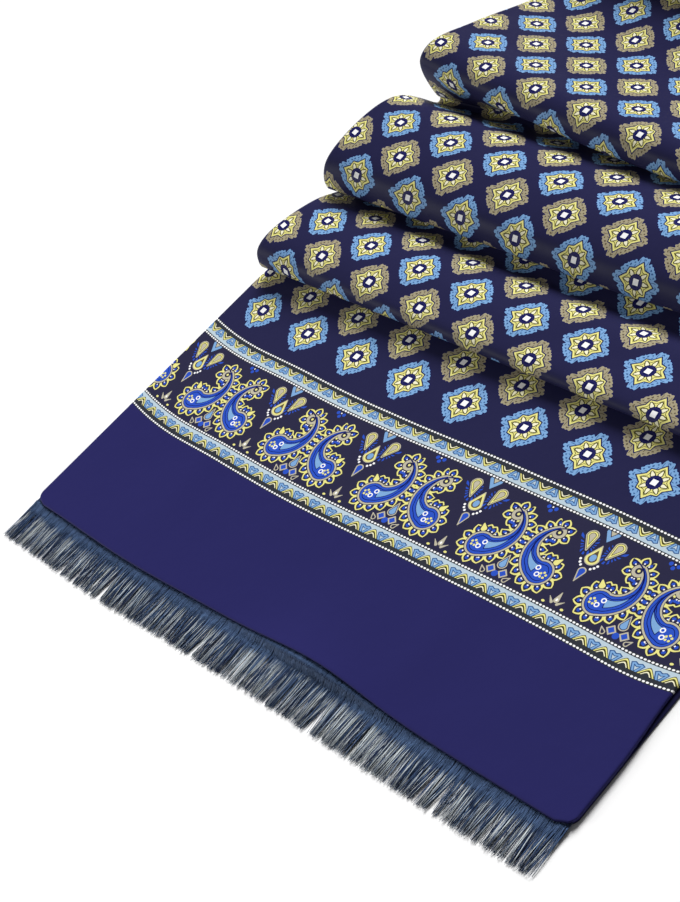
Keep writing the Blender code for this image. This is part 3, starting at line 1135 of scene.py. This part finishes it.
def plain_silk():
    """The darker plain silk of the back."""
    material, tree, shader = new_material("plain_silk", SILK_LOOK)
    places, x, s = cloth_places(tree)
    paint = Paint(tree, PLAIN_NAVY)
    paint.coat(PLAIN_LIGHTER, noise(tree, places, scale=0.3))
    tree.links.new(paint.colour, shader.inputs["Base Color"])
    finish_silk(tree, shader, places, x, s, PLAIN_ROUGHNESS)
    return material


def thread_silk():
    """The fringe's threads: each thread's tone runs from slate blue to silver."""
    material, tree, shader = new_material("thread_silk", THREAD_LOOK)
    attribute = tree.nodes.new("ShaderNodeAttribute")
    attribute.attribute_name = "tone"
    tone = Field(tree, attribute.outputs["Fac"])
    paint = Paint(tree, THREAD_DARK)
    paint.coat(THREAD_SLATE, (tone * (1.0 / SLATE_AT)).clamped())
    silver = tone * (1.0 / SILVER_OVER) - SILVER_FROM / SILVER_OVER
    paint.coat(THREAD_SILVER, silver.clamped())
    tree.links.new(paint.colour, shader.inputs["Base Color"])
    return material


def header_silk():
    """The woven header that the threads hang from."""
    material, tree, shader = new_material("header_silk", HEADER_LOOK)
    places, x, s = cloth_places(tree)
    ribs = ridges(x, RIB_PITCH)
    picks = ridges(s, PICK_PITCH)
    mottle = noise(tree, places, scale=1.1, detail=4.0)
    paint = Paint(tree, HEADER_DARK)
    paint.coat(HEADER_SLATE, (ribs * picks * 0.5 + mottle * 0.6 - 0.1).clamped())
    tree.links.new(paint.colour, shader.inputs["Base Color"])
    add_bump(tree, shader, ribs * 0.6 + picks * 0.5, HEADER_BUMP)
    return material


# ---------------------------------------------------------------- the fringes

# In a fringe, "out" is a distance from the hem, positive on the cloth's side. The header is
# highest between the panels, and falls over the stretch HEADER_FALL outside the hem.
HEADER_INNER = 0.9
HEADER_OUTER = -4.6
HEADER_ENDS = 0.8
HEADER_HIGH = 1.1
HEADER_LOW = 0.75
HEADER_FALL = (-0.6, 2.6)
HEADER_WALL = 0.4
HEADER_COLUMNS = 120
HEADER_ROWS = 18
# Its ragged outer edge, as waves: how deep, how quick and where each starts
RAGGED_WAVES = ((0.25, 1.7, 0.0), (0.2, 0.61, 1.0))

THREADS = 2600
THREAD_RADIUS = 0.13
THREAD_TAPER = 0.35
# A thread's rings, as shares of its length, are closest where it bends over the header
THREAD_RINGS = (0.0, 0.05, 0.1, 0.16, 0.24, 0.42, 0.68, 1.0)
THREAD_SIDES = 3
FIRST_SIDE = 0.25
THREAD_ROOT = 0.2
ROOT_SPREAD = (-0.6, 0.5)
ROOT_MARGIN = 0.6
FRINGE_REACH = 20.0
BULGE_REACH = 1.6
THREAD_SHORTEST = 0.9
# The locks that the threads fall into: how wide they are, and how much they draw and lean
LOCK_WIDTHS = (2.2, 7.0)
LOCK_DRAW = 0.27
LOCK_DRAW_SPREAD = (0.6, 1.25)
LOCK_LEAN = 0.5
# A thread's own course: it leaves its root late, bows a little, and waves as it settles
TIP_SPREAD = 0.35
TIP_MARGIN = 0.3
TIP_HEIGHTS = (0.25, 1.35)
LATE_TURN = 1.3
BOW_SPREAD = 0.28
BOW_TURNS = 1.5
OVER_HEADER = 0.06
SETTLES = (3.0, 9.0)
WAVE_HIGH = 0.25
WAVE_PACE = 5.0
ABOVE_TABLE = 0.05
TIP_FALL = 0.45
# Tones: the roots are all alike, and the pale threads go by locks
PALE_SHARE = 0.34
PALE_LOCK_LEAST = 0.5
PALE_TONES = (0.75, 1.0)
DARK_TONES = (0.0, 0.5)
ROOT_TONE = 0.3
TONE_COMES = (0.08, 0.38)


def hem_to_frame(x, out, z, far):
    """A fringe's points in the frame, from their distances from its hem. The far fringe is the
    near one turned half round."""
    if far:
        return place(SCARF_WIDTH - x, FAR_HEM - out, z)
    return place(x, out, z)


def header_height(out, x, far):
    """The height of the header's middle above the table."""
    lift = 0.0 if far else hem_lift(x, np.maximum(out, 0.0))[0]
    drop = ramp(-out, *HEADER_FALL)
    return HEADER_HIGH + (HEADER_LOW - HEADER_HIGH) * drop + lift * (1.0 - drop)


def make_header(name, far):
    """The woven strip between the two panels' hems: a closed thin wall."""
    x = np.linspace(HEADER_ENDS, SCARF_WIDTH - HEADER_ENDS, HEADER_COLUMNS)[:, None]
    share = np.linspace(0.0, 1.0, HEADER_ROWS)[None, :]
    draw = corner_draw(x) if far else corner_draw(x) + hem_lift(x, 0.0)[1]
    inner = HEADER_INNER + draw
    ragged = sum(depth * np.sin(x * pace + start) for depth, pace, start in RAGGED_WAVES)
    out = inner + (HEADER_OUTER + ragged - inner) * share
    x = np.broadcast_to(x, out.shape)
    middle = header_height(out, x, far)
    top = hem_to_frame(x, out, middle + HEADER_WALL / 2, far)
    bottom = hem_to_frame(x, out, middle - HEADER_WALL / 2, far)
    return closed_wall(name, top, bottom, (top[..., :2] - (LEFT_EDGE_X, NEAR_HEM_Y)) / MM)


def lock_middles(chance):
    """The edges of the locks along the hem, and their middles."""
    edges = [0.0]
    while edges[-1] < SCARF_WIDTH:
        edges.append(edges[-1] + chance.uniform(*LOCK_WIDTHS))
    edges[-1] = SCARF_WIDTH
    edges = np.array(edges)
    return edges, (edges[1:] + edges[:-1]) / 2


def thread_courses(chance, far):
    """The middle of each thread at its rings, and each thread's tone."""
    edges, middles = lock_middles(chance)
    pull = chance.uniform(*LOCK_DRAW_SPREAD, len(middles)) * LOCK_DRAW
    lean = chance.normal(0.0, LOCK_LEAN, len(middles))
    pale_lock = chance.uniform(0.0, 1.0, len(middles))
    root_x = np.sort(chance.uniform(ROOT_MARGIN, SCARF_WIDTH - ROOT_MARGIN, THREADS))
    lock = np.clip(np.searchsorted(edges, root_x) - 1, 0, len(middles) - 1)
    reach = FRINGE_REACH * chance.uniform(THREAD_SHORTEST, 1.0, THREADS)
    tip_x = root_x + (middles[lock] - root_x) * pull[lock] + lean[lock]
    tip_x += chance.normal(0.0, TIP_SPREAD, THREADS)
    tip_x = np.clip(tip_x, TIP_MARGIN, SCARF_WIDTH - TIP_MARGIN)
    height = chance.uniform(*TIP_HEIGHTS, THREADS)
    bow = chance.normal(0.0, BOW_SPREAD, THREADS)
    pale = chance.uniform(0.0, 1.0, THREADS) < PALE_SHARE * (PALE_LOCK_LEAST + pale_lock[lock])
    pale_tone = chance.uniform(*PALE_TONES, THREADS)
    tone = np.where(pale, pale_tone, chance.uniform(*DARK_TONES, THREADS))
    share = np.array(THREAD_RINGS)[None, :]
    start = THREAD_ROOT + chance.uniform(*ROOT_SPREAD, THREADS)[:, None]
    if not far:
        start = start + hem_lift(root_x, 0.0)[1][:, None]
        reach = reach + BULGE_REACH * bell(root_x, BULGE_X, BULGE_HALF_WIDTH)
    out = start - (reach[:, None] + start) * share
    x = root_x[:, None] + (tip_x - root_x)[:, None] * share**LATE_TURN
    x = x + bow[:, None] * np.sin(share * math.pi * BOW_TURNS)
    on_header = header_height(out, x, far) + HEADER_WALL / 2 + OVER_HEADER
    z = on_header + (height[:, None] - on_header) * ramp(-out, *SETTLES)
    z = z + WAVE_HIGH * np.sin(share * WAVE_PACE + root_x[:, None]) * share
    z = np.maximum(z, THREAD_RADIUS + ABOVE_TABLE)
    z = z * (1 - TIP_FALL * share**2) + THREAD_RADIUS * TIP_FALL * share**2
    return np.stack([x, out, z], axis=-1), tone


def make_threads(name, far, seed):
    """The loose threads of one fringe, joined in one mesh, with each one's tone."""
    centre, tone = thread_courses(np.random.default_rng(seed), far)
    share = np.array(THREAD_RINGS)[None, :]
    radius = THREAD_RADIUS * (1.0 - THREAD_TAPER * share**3)
    points = []
    for k in range(THREAD_SIDES):
        angle = 2 * math.pi * (k + FIRST_SIDE) / THREAD_SIDES
        ring = centre.copy()
        ring[..., 0] += radius * math.cos(angle)
        ring[..., 2] += radius * math.sin(angle)
        points.append(ring)
    points = np.stack(points, axis=2)
    flat = hem_to_frame(points[..., 0], points[..., 1], points[..., 2], far).reshape(-1, 3)
    thread_size = len(THREAD_RINGS) * THREAD_SIDES
    first = (np.arange(THREADS) * thread_size)[:, None]
    faces = []
    for low in range(0, thread_size - THREAD_SIDES, THREAD_SIDES):
        high = low + THREAD_SIDES
        for k in range(THREAD_SIDES):
            after = (k + 1) % THREAD_SIDES
            faces.append(first + np.array([[low + k, high + k, high + after, low + after]]))
    quads = np.vstack(faces)
    root = np.arange(THREAD_SIDES)[None, :]
    caps = [first + root, first + (thread_size - 1 - root)]
    mesh = bpy.data.meshes.new(name)
    mesh.from_pydata(flat.tolist(), [], quads.tolist() + np.vstack(caps).tolist())
    mesh.update()
    mesh.shade_smooth()
    tones = mesh.attributes.new("tone", "FLOAT", "POINT")
    along = np.repeat(ramp(share[0], *TONE_COMES), THREAD_SIDES)
    shades = ROOT_TONE + (tone[:, None] - ROOT_TONE) * along[None, :]
    tones.data.foreach_set("value", shades.ravel().astype(np.float32))
    face_outwards(mesh)
    return add_object(name, mesh)


# ---------------------------------------------------------------- the object

front = make_front()
back = make_back()
front.data.materials.append(printed_silk())
back.data.materials.append(plain_silk())
thread_material = thread_silk()
header_material = header_silk()

for piece, node, slot in (
    (front, "front_panel", "printed_silk"),
    (back, "back_panel", "plain_silk"),
):
    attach(piece, "root")
    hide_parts(node)

for node, far, seed in (("fringe_near", False, 11), ("fringe_far", True, 23)):
    header = make_header(node + "_header", far)
    header.data.materials.append(header_material)
    threads = make_threads(node + "_threads", far, seed)
    threads.data.materials.append(thread_material)
    for piece in (header, threads):
        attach(piece, "root")
        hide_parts(node)

# ---------------------------------------------------------------- the room

# The camera and the lamps are in metres
CAMERA_PLACE = Vector((0.4503, -0.7318, 0.4979))
CAMERA_AIM = Vector((-0.0379, -0.5006, 0.0023))
CAMERA_ROLL = math.radians(28.83)
CAMERA_LENS = 73.84
CAMERA_SENSOR = 36.0
CAMERA_SEES = (0.05, 50.0)

FLOOR_HALF = 40.0
FLOOR_COLOUR = (0.95, 0.95, 0.95, 1.0)
FLOOR_LOOK = {"Base Color": FLOOR_COLOUR, "Roughness": 0.9, "Specular IOR Level": 0.1}

KEY_FROM = (-0.45, 0.75, 0.56)
KEY_SPREAD = math.radians(28.0)
KEY_STRENGTH = 4.7
FILL_PLACE = (-1.4, -1.6, 0.8)
FILL_AIM = (0.0, -0.35, 0.0)
FILL_SIZE = 0.9
FILL_POWER = 20.0
STUDIO_COLOUR = (1.0, 1.0, 1.0, 1.0)
STUDIO_STRENGTH = 0.1


def make_floor():
    """A plain pale floor."""
    mesh = bpy.data.meshes.new("floor")
    signs = ((-1, -1), (1, -1), (1, 1), (-1, 1))
    corners = [(x * FLOOR_HALF, y * FLOOR_HALF, 0.0) for x, y in signs]
    mesh.from_pydata(corners, [], [(0, 1, 2, 3)])
    floor = add_object("floor", mesh)
    floor.data.materials.append(new_material("floor_white", FLOOR_LOOK)[0])


def turn_to(thing, direction, roll=None):
    """Points a lamp or the camera in a direction, and rolls it about that."""
    turn = direction.to_track_quat("-Z", "Y")
    thing.rotation_mode = "QUATERNION"
    thing.rotation_quaternion = turn @ roll if roll else turn


def make_fill():
    """A square soft box that fills the shadows."""
    data = bpy.data.lights.new("fill", "AREA")
    data.size = FILL_SIZE
    data.energy = FILL_POWER
    lamp = add_object("fill", data)
    lamp.location = FILL_PLACE
    turn_to(lamp, Vector(FILL_AIM) - Vector(FILL_PLACE))


def make_key():
    """Even light from far away, with soft shadows. The silk's gloss doesn't show it."""
    data = bpy.data.lights.new("key", "SUN")
    data.energy = KEY_STRENGTH
    data.angle = KEY_SPREAD
    sun = add_object("key", data)
    sun.visible_glossy = False
    turn_to(sun, -Vector(KEY_FROM))


def make_studio():
    """Faint even light from all round."""
    world = bpy.data.worlds.new("studio")
    world.use_nodes = True
    background = world.node_tree.nodes["Background"]
    background.inputs[0].default_value = STUDIO_COLOUR
    background.inputs[1].default_value = STUDIO_STRENGTH
    bpy.context.scene.world = world


def make_camera():
    """The photograph's viewpoint: from above the right side, rolled to the left."""
    data = bpy.data.cameras.new("camera")
    data.lens = CAMERA_LENS
    data.sensor_width = CAMERA_SENSOR
    data.clip_start, data.clip_end = CAMERA_SEES
    camera = add_object("camera", data)
    camera.location = CAMERA_PLACE
    roll = Quaternion((0.0, 0.0, 1.0), -CAMERA_ROLL)
    turn_to(camera, CAMERA_AIM - CAMERA_PLACE, roll)
    bpy.context.scene.camera = camera


make_floor()
make_key()
make_fill()
make_studio()
make_camera()
bpy.context.scene.view_settings.view_transform = "Standard"

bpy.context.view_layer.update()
